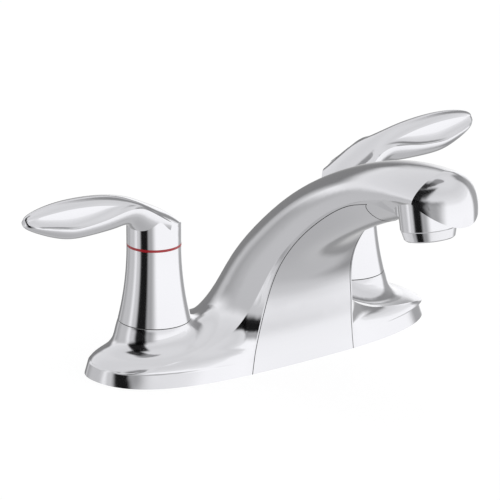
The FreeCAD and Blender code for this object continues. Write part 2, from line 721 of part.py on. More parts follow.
for side, sign, turn in (("hot", "-", 180), ("cold", "", 0)):
    axis = sign + "$handle_spacing / 2"
    lever = doc.addObject("Part::Feature", side + "_handle_top")
    lever.Shape = handle_top(-1 if sign else 1)
    lever.Placement = Placement(Vector(half_spacing * (-1 if sign else 1), 0, 0),
                                Rotation(Vector(0, 0, 1), turn))
    keep(lever, side + "_lever")
    keep(skirt(side + "_skirt_turned", axis), side + "_skirt")
    keep(stand(lathe(side + "_ring_turned", [
        ("$spigot_radius + $clearance", "$skirt_top"),
        ("$hub_radius", "$skirt_top"),
        ("$hub_radius", "$skirt_top + $ring_height"),
        ("$spigot_radius + $clearance", "$skirt_top + $ring_height"),
    ]), axis), side + "_index_ring")

    # Valve: body with its threaded shank, seal, discs, cartridge and stem
    shell_of_valve = lathe(side + "_valve_turned", [
        ("$inlet_radius", "$shank_end"),
        ("$tail_radius", "$shank_end"),
        ("$tail_radius", "$tail_top"),
        ("$thread_radius", "$tail_top"),
        ("$thread_radius", "$block_foot"),
        ("$block_radius", "$block_foot"),
        ("$block_radius", "$block_top"),
        ("$thread_radius", "$block_top"),
        ("$thread_radius", "$neck_top"),
        ("$chamber_radius", "$neck_top"),
        ("$chamber_radius", "$chamber_floor"),
        ("$inlet_radius", "$chamber_floor"),
    ])
    stand(shell_of_valve, axis)
    port = cylinder(side + "_port", "$tube_radius + $clearance", "$block_radius",
                    axis if sign == "-" else "$handle_spacing / 2 - $block_radius", "0",
                    "$tube_height", ALONG_X)
    keep(cut(side + "_valve_drilled", shell_of_valve, port), side + "_valve_body")

    keep(stand(lathe(side + "_seal_turned", [
        ("$seal_bore", "$chamber_floor"),
        ("$chamber_radius - $clearance", "$chamber_floor"),
        ("$chamber_radius - $clearance", "$chamber_floor + $seal_height"),
        ("$seal_bore", "$chamber_floor + $seal_height"),
    ]), axis), side + "_seat_seal")

    fixed_top = "$chamber_floor + $seal_height + $disc_height"
    turning_top = fixed_top + " + $face_gap + $disc_height"
    driver_top = turning_top + " + $driver_height"
    for disc, low, high in (("fixed_disc", "$chamber_floor + $seal_height", fixed_top),
                            ("turning_disc", fixed_top + " + $face_gap", turning_top)):
        keep(stand(lathe(side + "_" + disc + "_turned", [
            ("0", low),
            ("$disc_radius", low),
            ("$disc_radius", high),
            ("0", high),
        ]), axis), side + "_" + disc)

    cartridge_low = "$chamber_floor + $seal_height"
    keep(stand(lathe(side + "_cartridge_turned", [
        ("$disc_radius + $clearance", cartridge_low),
        ("$chamber_radius - $clearance", cartridge_low),
        ("$chamber_radius - $clearance", "$neck_top"),
        ("$neck_radius", "$neck_top"),
        ("$neck_radius", "$cartridge_top"),
        ("$stem_radius + $clearance", "$cartridge_top"),
        ("$stem_radius + $clearance", driver_top + " + $face_gap"),
        ("$disc_radius + $clearance", driver_top + " + $face_gap"),
    ]), axis), side + "_cartridge_body")

    keep(stand(lathe(side + "_stem_turned", [
        ("0", turning_top),
        ("$disc_radius", turning_top),
        ("$disc_radius", driver_top),
        ("$stem_radius", driver_top),
        ("$stem_radius", "$stem_seal_height"),
        ("$stem_radius - $stem_groove_depth", "$stem_seal_height"),
        ("$stem_radius - $stem_groove_depth", "$stem_seal_height + $stem_seal_width"),
        ("$stem_radius", "$stem_seal_height + $stem_seal_width"),
        ("$stem_radius", "$stem_top"),
        ("0", "$stem_top"),
    ]), axis), side + "_stem")

    keep(stand(lathe(side + "_stem_seal_turned", [
        ("$stem_radius - $stem_groove_depth + 0.02", "$stem_seal_height + $face_gap"),
        ("$stem_radius + 0.02", "$stem_seal_height + $face_gap"),
        ("$stem_radius + 0.02", "$stem_seal_height + $stem_seal_width - $face_gap"),
        ("$stem_radius - $stem_groove_depth + 0.02", "$stem_seal_height + $stem_seal_width - $face_gap"),
    ]), axis), side + "_stem_seal")

    keep(stand(lathe(side + "_bonnet_turned", [
        ("$thread_radius + $clearance", "$boss_height"),
        ("$bonnet_radius", "$boss_height"),
        ("$bonnet_radius", "$neck_top + $bonnet_lip"),
        ("$neck_radius + $clearance", "$neck_top + $bonnet_lip"),
        ("$neck_radius + $clearance", "$neck_top"),
        ("$thread_radius + $clearance", "$neck_top"),
    ]), axis), side + "_bonnet_nut")

    screw = cylinder(side + "_screw_rod", "$screw_radius",
                     "$hub_radius - $stem_radius - 0.6", axis, "$stem_radius + $clearance",
                     "$screw_height", ALONG_Y)
    hexagon = doc.addObject("Part::Prism", side + "_screw_socket")
    hexagon.Polygon = 6
    hexagon.setExpression("Circumradius", expr("$screw_radius * 0.6"))
    hexagon.setExpression("Height", expr("$screw_radius"))
    hexagon.Placement = Placement(Vector(0, 0, 0), ALONG_Y)
    stand(hexagon, axis, "$hub_radius - 0.6 + $clearance - $screw_radius", "$screw_height")
    keep(cut(side + "_screw_cut", screw, hexagon), side + "_set_screw")

    # Under the deck: washer and nut on the shank
    keep(stand(lathe(side + "_washer_turned", [
        ("$thread_radius + $clearance", "-$deck_thickness - $washer_height"),
        ("$washer_radius", "-$deck_thickness - $washer_height"),
        ("$washer_radius", "-$deck_thickness"),
        ("$thread_radius + $clearance", "-$deck_thickness"),
    ]), axis), side + "_mounting_washer")
    nut = doc.addObject("Part::Prism", side + "_nut_blank")
    nut.Polygon = 6
    nut.setExpression("Circumradius", expr("$nut_radius"))
    nut.setExpression("Height", expr("$nut_height"))
    stand(nut, axis, "0", "-$deck_thickness - $washer_height - $nut_height")
    bore = cylinder(side + "_nut_bore", "$thread_radius + $clearance", "$nut_height + 2", axis, "0",
                    "-$deck_thickness - $washer_height - $nut_height - 1")
    keep(cut(side + "_nut_cut", nut, bore), side + "_mounting_nut")

    # Crossover tube from the valve block to the mixing tee
    start = "-$handle_spacing / 2 + $chamber_radius + 0.6" if sign else "$tee_radius - 2"
    length = "$handle_spacing / 2 - $chamber_radius - 0.6 - $tee_radius + 2"
    tube = cylinder(side + "_tube_rod", "$tube_radius", length, start, "0", "$tube_height", ALONG_X)
    hollow = cylinder(side + "_tube_bore", "$tube_bore", length, start, "0", "$tube_height", ALONG_X)
    keep(cut(side + "_tube_cut", tube, hollow), side + "_crossover_tube")

# Mixing tee, spout tube and outlet

tee = lathe("tee_turned", [
    ("$spout_tube_radius + $clearance", "$tee_top - 3"),
    ("$spout_tube_radius + $clearance", "$tee_top"),
    ("$tee_radius", "$tee_top"),
    ("$tee_radius", "$tee_foot"),
    ("0", "$tee_foot"),
    ("0", "$tee_foot + 2"),
    ("$spout_tube_bore", "$tee_foot + 2"),
    ("$spout_tube_bore", "$tee_top - 3"),
])
ports = cylinder("tee_ports", "$tube_radius + $clearance", "2 * $tee_radius + 2",
                 "-$tee_radius - 1", "0", "$tube_height", ALONG_X)
keep(cut("tee_drilled", tee, ports), "mixing_tee")

tube = doc.addObject("Part::Feature", "spout_pipe")
tube.Shape = piped(route, size("spout_tube_radius")).cut(piped(route, size("spout_tube_bore")))
keep(tube, "spout_tube")


def on_outlet(obj):
    """Put a piece on the outlet's axis, its zero at the outlet's rim."""
    obj.Placement = Placement(Vector(0, 0, 0), Rotation(Vector(1, 0, 0), -size("outlet_tilt")))
    obj.setExpression("Placement.Rotation.Angle", expr("-$outlet_tilt"))
    return stand(obj, "0", "-$outlet_reach", "$outlet_height")


bore_text = "$outlet_radius - $housing_wall"
socket_blank = on_outlet(lathe("socket_turned", [
    ("$socket_bore", "$outlet_recess_depth - $nipple_length"),
    (bore_text + " - $clearance", "$outlet_recess_depth - $nipple_length"),
    (bore_text + " - $clearance", "$outlet_recess_depth"),
    ("$socket_radius", "$outlet_recess_depth"),
    ("$socket_radius", "$outlet_recess_depth + $socket_height"),
    ("0", "$outlet_recess_depth + $socket_height"),
    ("0", "$outlet_recess_depth + $socket_height - 1.6"),
    ("$socket_bore", "$outlet_recess_depth + $socket_height - 1.6"),
]))
into_socket = Rotation(Vector(0, 0, 1), end_way)
seat = doc.addObject("Part::Cylinder", "socket_seat")
seat.setExpression("Radius", expr("$spout_tube_radius + $clearance"))
seat.Height = 6.0
seat.Placement = Placement(tube_end - end_way * 6.0, into_socket)
way_in = doc.addObject("Part::Cylinder", "socket_way")
way_in.setExpression("Radius", expr("$spout_tube_bore"))
way_in.Height = 7.0
way_in.Placement = Placement(tube_end - end_way, into_socket)
socket_seated = cut("socket_seated", socket_blank, seat)
keep(cut("socket_drilled", socket_seated, way_in), "outlet_socket")

keep(on_outlet(lathe("housing_turned", [
    (bore_text + " - $housing_lip", "0"),
    ("$outlet_tip_radius - 0.5", "0"),
    ("$outlet_tip_radius", "0.5"),
    ("$outlet_radius - 0.25", "$housing_taper"),
    ("$outlet_radius - 0.05", "$housing_taper + 0.4"),
    ("$outlet_radius", "$outlet_length"),
    (bore_text, "$outlet_length"),
    (bore_text, "$housing_inset"),
    (bore_text + " - $housing_lip", "$housing_inset"),
])), "aerator_housing")

keep(on_outlet(lathe("outlet_washer_turned", [
    ("$socket_bore + 1", "$housing_inset + $insert_height"),
    (bore_text + " - $clearance", "$housing_inset + $insert_height"),
    (bore_text + " - $clearance", "$housing_inset + $insert_height + $washer_seat"),
    ("$socket_bore + 1", "$housing_inset + $insert_height + $washer_seat"),
])), "aerator_washer")

insert = lathe("insert_turned", [
    ("0", "$housing_inset"),
    (bore_text + " - $clearance", "$housing_inset"),
    (bore_text + " - $clearance", "$housing_inset + $insert_height"),
    ("0", "$housing_inset + $insert_height"),
])
holes = []
for ring, count in ((0.0, 1), (0.3, 6), (0.6, 12)):
    for step in range(count):
        turn = 2 * math.pi * step / count
        hole = cylinder("insert_hole_%d" % len(holes), "$insert_hole",
                        "$housing_inset + $insert_height + 1",
                        "($outlet_radius - $housing_wall) * %r" % (ring * math.cos(turn)),
                        "($outlet_radius - $housing_wall) * %r" % (ring * math.sin(turn)))
        holes.append(hole)
drills = doc.addObject("Part::MultiFuse", "insert_holes")
drills.Shapes = holes
keep(on_outlet(cut("insert_drilled", insert, drills)), "aerator_insert")

# Gasket between the base and the deck

gasket_outline = inner_station(foot, size("gasket_inset"))
gasket_outline.edge = (gasket_outline.edge[0], gasket_outline.edge[1], 0.0)
gasket_face = Part.Face(gasket_outline.wire())
pad = doc.addObject("Part::Feature", "gasket_blank")
pad.Shape = gasket_face.extrude(Vector(0, 0, size("gasket_height")))
hot_hole = cylinder("gasket_hot_hole", "$thread_radius + 0.3", "$gasket_height + 2",
                    "-$handle_spacing / 2", "0", "-1")
cold_hole = cylinder("gasket_cold_hole", "$thread_radius + 0.3", "$gasket_height + 2",
                     "$handle_spacing / 2", "0", "-1")
keep(cut("gasket_holed", cut("gasket_once", pad, hot_hole), cold_hole), "deck_gasket")

# Checks and files

sheet.clear("F1")
doc.recompute()
faults = [obj.Name for obj in doc.Objects if "Invalid" in obj.State or "Error" in obj.State]
faults += [obj.Label for obj in parts if obj.Shape.isNull() or not obj.Shape.isValid()]
if faults:
    raise ValueError("not sound: " + ", ".join(faults))

os.makedirs("parts", exist_ok=True)
for obj in parts:
    obj.Shape.exportStep("parts/%s.step" % obj.Label)
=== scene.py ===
# %% [markdown]
# # Centerset bathroom faucet
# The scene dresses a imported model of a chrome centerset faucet: one low spout that grows out of
# a long base, two flared hubs with lever handles, and a round outlet under the nose. The frame
# is in metres. X runs from the hot handle to the cold one, -Y points to the user, Z is up, and
# the deck that the faucet stands on is at Z = 0.

import json
import math

import bmesh
import bpy
from mathutils import Matrix, Vector


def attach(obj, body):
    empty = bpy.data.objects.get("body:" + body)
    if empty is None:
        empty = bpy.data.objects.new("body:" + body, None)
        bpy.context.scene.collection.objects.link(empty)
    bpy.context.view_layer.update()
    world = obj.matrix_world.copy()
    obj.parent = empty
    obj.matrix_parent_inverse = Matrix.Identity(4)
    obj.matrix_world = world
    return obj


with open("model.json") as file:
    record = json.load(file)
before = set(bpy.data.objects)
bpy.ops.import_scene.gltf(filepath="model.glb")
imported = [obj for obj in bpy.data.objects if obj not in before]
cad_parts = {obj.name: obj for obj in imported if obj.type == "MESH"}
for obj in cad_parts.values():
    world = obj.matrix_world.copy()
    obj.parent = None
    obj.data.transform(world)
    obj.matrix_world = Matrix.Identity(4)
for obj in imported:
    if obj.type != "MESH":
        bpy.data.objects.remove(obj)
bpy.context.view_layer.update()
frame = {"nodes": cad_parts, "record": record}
nodes = frame["nodes"]
MM = 0.001
HANDLE_AXES = {"hot": -50.8 * MM, "cold": 50.8 * MM}
print("pieces in the packed model:", len(nodes))

# %% [markdown]
# A few small helpers keep the shader trees short. One sets the inputs of a node by name, so that a
# material reads as a list of facts. Another does sums on numbers and sockets alike.

# %% Helpers for node trees
def new_material(name):
    """An empty material with its tree."""
    material = bpy.data.materials.new(name)
    material.use_nodes = True
    material.node_tree.nodes.clear()
    return material, material.node_tree


def grey(value):
    """A grey colour."""
    return (value, value, value, 1.0)


def add(tree, kind, **inputs):
    """A node with its inputs set by name."""
    node = tree.nodes.new(kind)
    for key, value in inputs.items():
        node.inputs[key.replace("_", " ")].default_value = value
    return node


def add_maths(tree, operation, *values):
    """A math node with these numbers or sockets on its inputs; gives its output."""
    node = tree.nodes.new("ShaderNodeMath")
    node.operation = operation
    for socket, value in zip(node.inputs, values):
        if isinstance(value, (int, float)):
            socket.default_value = value
        else:
            tree.links.new(value, socket)
    return node.outputs[0]


# %% [markdown]
# Polished metal is never perfectly even: buffing leaves faint swirls that change the roughness a
# little. Four finishes share that effect, so it is a shader group with named inputs, and it puts
# out a roughness.

# %% The buffing group
BUFFING_INPUTS = ("Roughness", "Swirl", "Scale")


def buffing_group():
    """The roughness of buffed metal, on Object coordinates."""
    group = bpy.data.node_groups.new("buffing", "ShaderNodeTree")
    for name in BUFFING_INPUTS:
        group.interface.new_socket(name, in_out="INPUT", socket_type="NodeSocketFloat")
    group.interface.new_socket("Roughness", in_out="OUTPUT", socket_type="NodeSocketFloat")
    inside, outside = group.nodes.new("NodeGroupInput"), group.nodes.new("NodeGroupOutput")
    place = group.nodes.new("ShaderNodeTexCoord")
    swirl = add(group, "ShaderNodeTexNoise", Detail=4.0, Roughness=0.6)
    link = group.links.new
    link(place.outputs["Object"], swirl.inputs["Vector"])
    link(inside.outputs["Scale"], swirl.inputs["Scale"])
    spread = add_maths(group, "MULTIPLY_ADD", swirl.outputs["Fac"], inside.outputs["Swirl"],
                       inside.outputs["Roughness"])
    link(spread, outside.inputs["Roughness"])
    return group


BUFFING = buffing_group()


def buffed_metal(name, colour, roughness, swirl, scale):
    """A metal with the buffing group on its roughness."""
    material, tree = new_material(name)
    shader = add(tree, "ShaderNodeBsdfPrincipled", Base_Color=(*colour, 1.0), Metallic=1.0)
    polish = tree.nodes.new("ShaderNodeGroup")
    polish.node_tree = BUFFING
    for key, value in zip(BUFFING_INPUTS, (roughness, swirl, scale)):
        polish.inputs[key].default_value = value
    output = tree.nodes.new("ShaderNodeOutputMaterial")
    tree.links.new(polish.outputs["Roughness"], shader.inputs["Roughness"])
    tree.links.new(shader.outputs["BSDF"], output.inputs["Surface"])
    return material


# colour, roughness, and the depth and scale of the swirls
CHROME = buffed_metal("polished_chrome", (0.82, 0.82, 0.85), 0.1, 0.03, 60.0)
BRASS = buffed_metal("machined_brass", (0.62, 0.47, 0.24), 0.25, 0.12, 300.0)
COPPER = buffed_metal("aged_copper", (0.2, 0.125, 0.09), 0.4, 0.15, 200.0)
STEEL = buffed_metal("plain_steel", (0.6, 0.6, 0.61), 0.28, 0.15, 200.0)


# %% [markdown]
# The plastics and the rubber are moulded, and the ceramic is pressed. Their colour shifts a little
# from place to place, and a fine grain catches the light.

# %% Moulded finishes
MOTTLE_DARK, MOTTLE_LIGHT = 0.9, 1.06  # shares of the colour
GRAIN_DEPTH = 0.2 * MM


def moulded(name, colour, roughness, grain=0.1, coat=0.0):
    """A moulded finish with a faint mottle and grain."""
    material, tree = new_material(name)
    place = tree.nodes.new("ShaderNodeTexCoord")
    mottle = add(tree, "ShaderNodeTexNoise", Scale=120.0, Detail=3.0)
    ramp = tree.nodes.new("ShaderNodeValToRGB")
    dark, light = ramp.color_ramp.elements
    dark.color = (*[part * MOTTLE_DARK for part in colour], 1.0)
    light.color = (*[min(1.0, part * MOTTLE_LIGHT) for part in colour], 1.0)
    fine = add(tree, "ShaderNodeTexNoise", Scale=1500.0, Detail=2.0)
    bump = add(tree, "ShaderNodeBump", Strength=grain, Distance=GRAIN_DEPTH)
    shader = add(tree, "ShaderNodeBsdfPrincipled", Roughness=roughness, Coat_Weight=coat)
    output = tree.nodes.new("ShaderNodeOutputMaterial")
    link = tree.links.new
    link(place.outputs["Object"], mottle.inputs["Vector"])
    link(place.outputs["Object"], fine.inputs["Vector"])
    link(mottle.outputs["Fac"], ramp.inputs["Fac"])
    link(ramp.outputs["Color"], shader.inputs["Base Color"])
    link(fine.outputs["Fac"], bump.inputs["Height"])
    link(bump.outputs["Normal"], shader.inputs["Normal"])
    link(shader.outputs["BSDF"], output.inputs["Surface"])
    return material


FINISH = {
    "chrome": CHROME,
    "brass": BRASS,
    "copper": COPPER,
    "steel": STEEL,
    # colour, roughness, and where they differ from the usual the grain and the clear coat
    "hot_index": moulded("red_index", (0.72, 0.025, 0.04), 0.3, 0.02, 0.5),
    "cold_index": moulded("blue_index", (0.03, 0.08, 0.5), 0.3, 0.02, 0.5),
    "ceramic": moulded("lapped_ceramic", (0.88, 0.86, 0.8), 0.15, 0.02),
    "rubber": moulded("seal_rubber", (0.03, 0.03, 0.032), 0.55),
    "cartridge_plastic": moulded("cartridge_plastic", (0.8, 0.8, 0.76), 0.45),
    "nut_plastic": moulded("nut_plastic", (0.82, 0.82, 0.8), 0.4),
    "insert_plastic": moulded("insert_plastic", (0.66, 0.67, 0.7), 0.35),
}

# %% [markdown]
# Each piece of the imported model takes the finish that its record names. The photograph's chrome
# shows hardly any image of the faucet's own pieces, so every piece is left out of mirror rays, and
# the chrome mirrors the studio alone.

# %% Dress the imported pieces
slots = {entry["node"]: entry["material_slot"] for entry in frame["record"]["subparts"]}
for name, piece in nodes.items():
    piece.data.materials.clear()
    piece.data.materials.append(FINISH[slots[name]])
    piece.visible_glossy = False
print("finishes in use:", sorted(set(slots.values())))

# %% [markdown]
# The scene adds five pieces of its own: a thread on each shank, and three pieces of painted shade,
# a black ring under each handle and a dark line round the front panel. Two kinds of them sweep a
# small profile along a path, the threads and the dark line, and Geometry Nodes do that. The result
# becomes a plain mesh, and the modifier goes.

# %% Helpers for new pieces
def sweep_tree(name, inputs):
    """An empty Geometry Nodes tree with these inputs, and their sockets inside it."""
    tree = bpy.data.node_groups.new(name, "GeometryNodeTree")
    for key, kind in inputs.items():
        tree.interface.new_socket(key, in_out="INPUT", socket_type=kind)
    tree.interface.new_socket("Geometry", in_out="OUTPUT", socket_type="NodeSocketGeometry")
    return tree, tree.nodes.new("NodeGroupInput").outputs


def add_sweep(tree, path, sides, radius, finish):
    """A profile with this many sides, swept along the path and dressed, as the tree's result."""
    profile = add(tree, "GeometryNodeCurvePrimitiveCircle", Resolution=sides)
    sweep = add(tree, "GeometryNodeCurveToMesh", Fill_Caps=True)
    plain = tree.nodes.new("GeometryNodeRealizeInstances")
    dress = tree.nodes.new("GeometryNodeSetMaterial")
    link = tree.links.new
    link(radius, profile.inputs["Radius"])
    link(path, sweep.inputs["Curve"])
    link(profile.outputs["Curve"], sweep.inputs["Profile Curve"])
    link(sweep.outputs["Mesh"], plain.inputs["Geometry"])
    link(plain.outputs["Geometry"], dress.inputs["Geometry"])
    link(finish, dress.inputs["Material"])
    link(dress.outputs["Geometry"], tree.nodes.new("NodeGroupOutput").inputs["Geometry"])


def run_tree(tree, values, start):
    """The plain mesh that a tree makes of a start mesh, with its inputs set by name."""
    maker = bpy.data.objects.new("maker", start)
    bpy.context.scene.collection.objects.link(maker)
    modifier = maker.modifiers.new("sweep", "NODES")
    modifier.node_group = tree
    for item in tree.interface.items_tree:
        if item.in_out == "INPUT" and item.name in values:
            modifier[item.identifier] = values[item.name]
    made = maker.evaluated_get(bpy.context.evaluated_depsgraph_get())
    mesh = bpy.data.meshes.new_from_object(made)
    bpy.data.objects.remove(maker)
    return mesh


def new_piece(name, mesh):
    """A piece at the origin that shows this mesh; mirror rays leave it out as well."""
    piece = bpy.data.objects.new(name, mesh)
    bpy.context.scene.collection.objects.link(piece)
    piece.visible_glossy = False
    return piece


# %% [markdown]
# The shanks that go through the deck are threaded, so that a nut can clamp the faucet from below.
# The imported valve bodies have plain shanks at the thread's core. A thread follows a rule, a ridge
# on a helix: a small triangle is swept along a spiral, with named inputs for the radius, the
# pitch, the length and the depth.

# %% Threads on the shanks
THREAD_SIZES = {"Radius": 10.35 * MM, "Pitch": 1.8 * MM, "Length": 29.5 * MM, "Depth": 0.5 * MM}
THREAD_FOOT = -31.5 * MM
STEPS_A_TURN = 40
RIDGE_SIDES = 3


def thread_tree():
    """A ridge wound round the Z axis, from the tree's inputs."""
    tree, pins = sweep_tree("shank_thread", {**dict.fromkeys(THREAD_SIZES, "NodeSocketFloat"),
                                             "Finish": "NodeSocketMaterial"})
    helix = add(tree, "GeometryNodeCurveSpiral", Resolution=STEPS_A_TURN)
    turns = add_maths(tree, "DIVIDE", pins["Length"], pins["Pitch"])
    tree.links.new(turns, helix.inputs["Rotations"])
    tree.links.new(pins["Radius"], helix.inputs["Start Radius"])
    tree.links.new(pins["Radius"], helix.inputs["End Radius"])
    tree.links.new(pins["Length"], helix.inputs["Height"])
    add_sweep(tree, helix.outputs["Curve"], RIDGE_SIDES, pins["Depth"], pins["Finish"])
    return tree


def shank_thread(side, x, tree):
    """The thread of one shank, in its place."""
    mesh = run_tree(tree, {**THREAD_SIZES, "Finish": BRASS}, bpy.data.meshes.new("maker"))
    mesh.transform(Matrix.Translation((x, 0.0, THREAD_FOOT)))
    thread = new_piece(side + "_shank_thread", mesh)
    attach(thread, "fixed")
    print(thread.name, "faces:", len(mesh.polygons))


winding = thread_tree()
for side, x in HANDLE_AXES.items():
    shank_thread(side, x, winding)

# %% [markdown]
# A thin black line shows where each handle turns on its boss. It is painted shade: a black ring
# of the rubber finish stands in for the shadow in the gap. The ring is turned: a small profile is
# spun round the handle's axis.

# %% Painted shade rings under the handles
# profile of the ring of painted shade: radius and height in millimetres
SHADE_RING_PROFILE = ((13.9, 20.22), (14.85, 20.22), (14.97, 20.28),
                (14.97, 20.52), (14.85, 20.58), (13.9, 20.58))
SHADE_RING_STEPS = 96


def shade_ring(side, x):
    """A black ring in the gap between a boss and its skirt, as painted shade for the gap's shadow.
    """
    form = bmesh.new()
    rings = []
    for step in range(SHADE_RING_STEPS):
        turn = math.tau * step / SHADE_RING_STEPS
        rings.append([form.verts.new((x + radius * MM * math.cos(turn),
                                      radius * MM * math.sin(turn), z * MM))
                      for radius, z in SHADE_RING_PROFILE])
    for here, there in zip(rings, rings[1:] + rings[:1]):
        for k in range(len(here)):
            form.faces.new((here[k - 1], there[k - 1], there[k], here[k]))
    bmesh.ops.recalc_face_normals(form, faces=form.faces)
    mesh = bpy.data.meshes.new(side + "_shade_ring")
    form.to_mesh(mesh)
    form.free()
    # the rubber's black on this ring is painted shade for the shadow in the gap
    mesh.materials.append(FINISH["rubber"])
    ring = new_piece(side + "_shade_ring", mesh)
    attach(ring, "fixed")
    print(ring.name, "faces:", len(mesh.polygons))


for side, x in HANDLE_AXES.items():
    shade_ring(side, x)

# %% [markdown]
# A fine dark line runs round the front panel, where it meets the casting. It is painted shade: a
# thin dark tube of the rubber finish stands in for the shadow in the seam. Its path is read from
# the
# imported panel: the edges between the panel's skin, which looks to the front and down under the
# arch, and its side walls. The edges become curves, and a small circle is swept along them.

# %% The painted shade line in the panel's seam
SHADE_LINE_RADIUS = 0.17 * MM
SHADE_LINE_SINK = 0.08 * MM
SHADE_LINE_SIDES = 6
CORNERS_JOIN = 0.005 * MM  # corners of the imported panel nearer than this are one
SKIN_TO_WALL = 0.6  # cosine; a side wall turns off more sharply from the skin
# Parts of a unit normal that tell the panel's faces apart. Y falls to -1 towards the user, and Z
# falls to -1 straight down, which is the panel's foot.
SKIN_FRONT = -0.1
SKIN_BELOW = (-0.98, -0.2)
WALL_FRONT, WALL_FOOT = -0.35, -0.9


def seam_shade_tree():
    """A round line along the edges of a mesh, for the painted shade in the panel's seam."""
    tree, pins = sweep_tree("seam_shade_line", {"Path": "NodeSocketGeometry", "Radius": "NodeSocketFloat",
                                          "Finish": "NodeSocketMaterial"})
    path = tree.nodes.new("GeometryNodeMeshToCurve")
    tree.links.new(pins["Path"], path.inputs["Mesh"])
    add_sweep(tree, path.outputs["Curve"], SHADE_LINE_SIDES, pins["Radius"], pins["Finish"])
    return tree


def is_skin(normal):
    """Whether a face of the panel looks to the front, or down under the arch but not straight."""
    return normal.y < SKIN_FRONT or SKIN_BELOW[0] < normal.z < SKIN_BELOW[1]


def is_wall(normal):
    """Whether a face can be a side wall of the panel: not its foot and not its front."""
    return normal.z > WALL_FOOT and normal.y > WALL_FRONT


def panel_outline():
    """A mesh of the edges round the front panel's skin, sunk a little into the seam."""
    form = bmesh.new()
    form.from_mesh(nodes["front_panel"].data)
    bmesh.ops.remove_doubles(form, verts=form.verts, dist=CORNERS_JOIN)
    form.normal_update()
    outline, sunk = [], {}
    for edge in form.edges:
        if len(edge.link_faces) != 2:
            continue
        for skin, wall in (edge.link_faces, reversed(edge.link_faces)):
            sharp = skin.normal.dot(wall.normal) < SKIN_TO_WALL
            if sharp and is_skin(skin.normal) and is_wall(wall.normal):
                outline.append(tuple(vert.index for vert in edge.verts))
                for vert in edge.verts:
                    sunk[vert.index] = vert.co - skin.normal * SHADE_LINE_SINK
                break
    order = {index: place for place, index in enumerate(sunk)}
    mesh = bpy.data.meshes.new("outline")
    mesh.from_pydata(list(sunk.values()), [(order[a], order[b]) for a, b in outline], [])
    form.free()
    return mesh


def seam_shade_line():
    """The dark line of painted shade in the seam, as a piece of its own."""
    # the rubber's black on this line is painted shade for the shadow in the seam
    values = {"Radius": SHADE_LINE_RADIUS, "Finish": FINISH["rubber"]}
    mesh = run_tree(seam_shade_tree(), values, panel_outline())
    shade_line = new_piece("panel_seam_bead", mesh)
    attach(shade_line, "fixed")
    print(shade_line.name, "faces:", len(mesh.polygons))


seam_shade_line()

# %% [markdown]
# The camera stands where the photographer's did: slightly above the spout, a little to the left
# of it, far away with a long lens. The numbers come from fitting a camera to points on both
# handles, both seams and the base, with the handle axes 101.6 mm apart.

# %% Camera
# lens and sensor in millimetres, as Blender counts them; the far end in metres
TARGET = Vector((-1.27, 0.0, 39.43)) * MM
AZIMUTH = math.radians(-37.6)
ELEVATION = math.radians(18.8)
DISTANCE = 2700.0 * MM
LENS, SENSOR = 469.7, 36.0
FAR_END = 20.0

toward = Vector((math.sin(AZIMUTH) * math.cos(ELEVATION),
                 -math.cos(AZIMUTH) * math.cos(ELEVATION),
                 math.sin(ELEVATION)))
camera = bpy.data.objects.new("camera", bpy.data.cameras.new("camera"))
camera.data.lens = LENS
camera.data.sensor_width = SENSOR
camera.data.clip_end = FAR_END
camera.location = TARGET + toward * DISTANCE
camera.rotation_euler = (-toward).to_track_quat("-Z", "Y").to_euler()
bpy.context.scene.collection.objects.link(camera)
bpy.context.scene.camera = camera


# %% [markdown]
# Chrome shows its surroundings, so the studio is drawn in the world as a white tent with cards
# standing round the faucet. A card is a patch between two azimuths and two heights that darkens
# the tent behind it. Each has soft edges, and all are one shader group.

# %% The card group
CARD_EDGES = ("Left", "Right", "Soft", "Bottom", "Top", "Fade", "Depth")


def card_group():
    """Light dimmed where the direction falls on a card; azimuths in degrees, heights as sines."""
    group = bpy.data.node_groups.new("studio_card", "ShaderNodeTree")
    for name in ("Light", "Azimuth", "Height", *CARD_EDGES):
        group.interface.new_socket(name, in_out="INPUT", socket_type="NodeSocketFloat")
    group.interface.new_socket("Light", in_out="OUTPUT", socket_type="NodeSocketFloat")
    pins = group.nodes.new("NodeGroupInput").outputs
    outside = group.nodes.new("NodeGroupOutput")
    link = group.links.new

    def step(value, edge, soft):
        """0 before the edge and 1 after it."""
        node = group.nodes.new("ShaderNodeMapRange")
        node.interpolation_type = "SMOOTHSTEP"
        link(value, node.inputs["Value"])
        link(add_maths(group, "SUBTRACT", edge, soft), node.inputs["From Min"])
        link(add_maths(group, "ADD", edge, soft), node.inputs["From Max"])
        return node.outputs["Result"]

    def between(value, start, end, soft):
        """1 between two edges and 0 outside them."""
        return add_maths(group, "SUBTRACT", step(value, start, soft), step(value, end, soft))

    across = between(pins["Azimuth"], pins["Left"], pins["Right"], pins["Soft"])
    upward = between(pins["Height"], pins["Bottom"], pins["Top"], pins["Fade"])
    covered = add_maths(group, "MULTIPLY", across, upward)
    shade = add_maths(group, "MULTIPLY", covered, pins["Depth"])
    left_over = add_maths(group, "SUBTRACT", 1.0, shade)
    link(add_maths(group, "MULTIPLY", pins["Light"], left_over), outside.inputs["Light"])
    return group


# %% [markdown]
# The tent is brightest round the horizon and greyer overhead and underfoot. The black card on the
# left gives each round piece its dark stripe, with a grey flank on either side, and grey cards
# stand on the right and behind the faucet. Azimuth 0 faces the user and grows to the right, and
# the count runs from 20 to 380, so that it starts over in the white front of the tent. Camera rays
# see plain white.

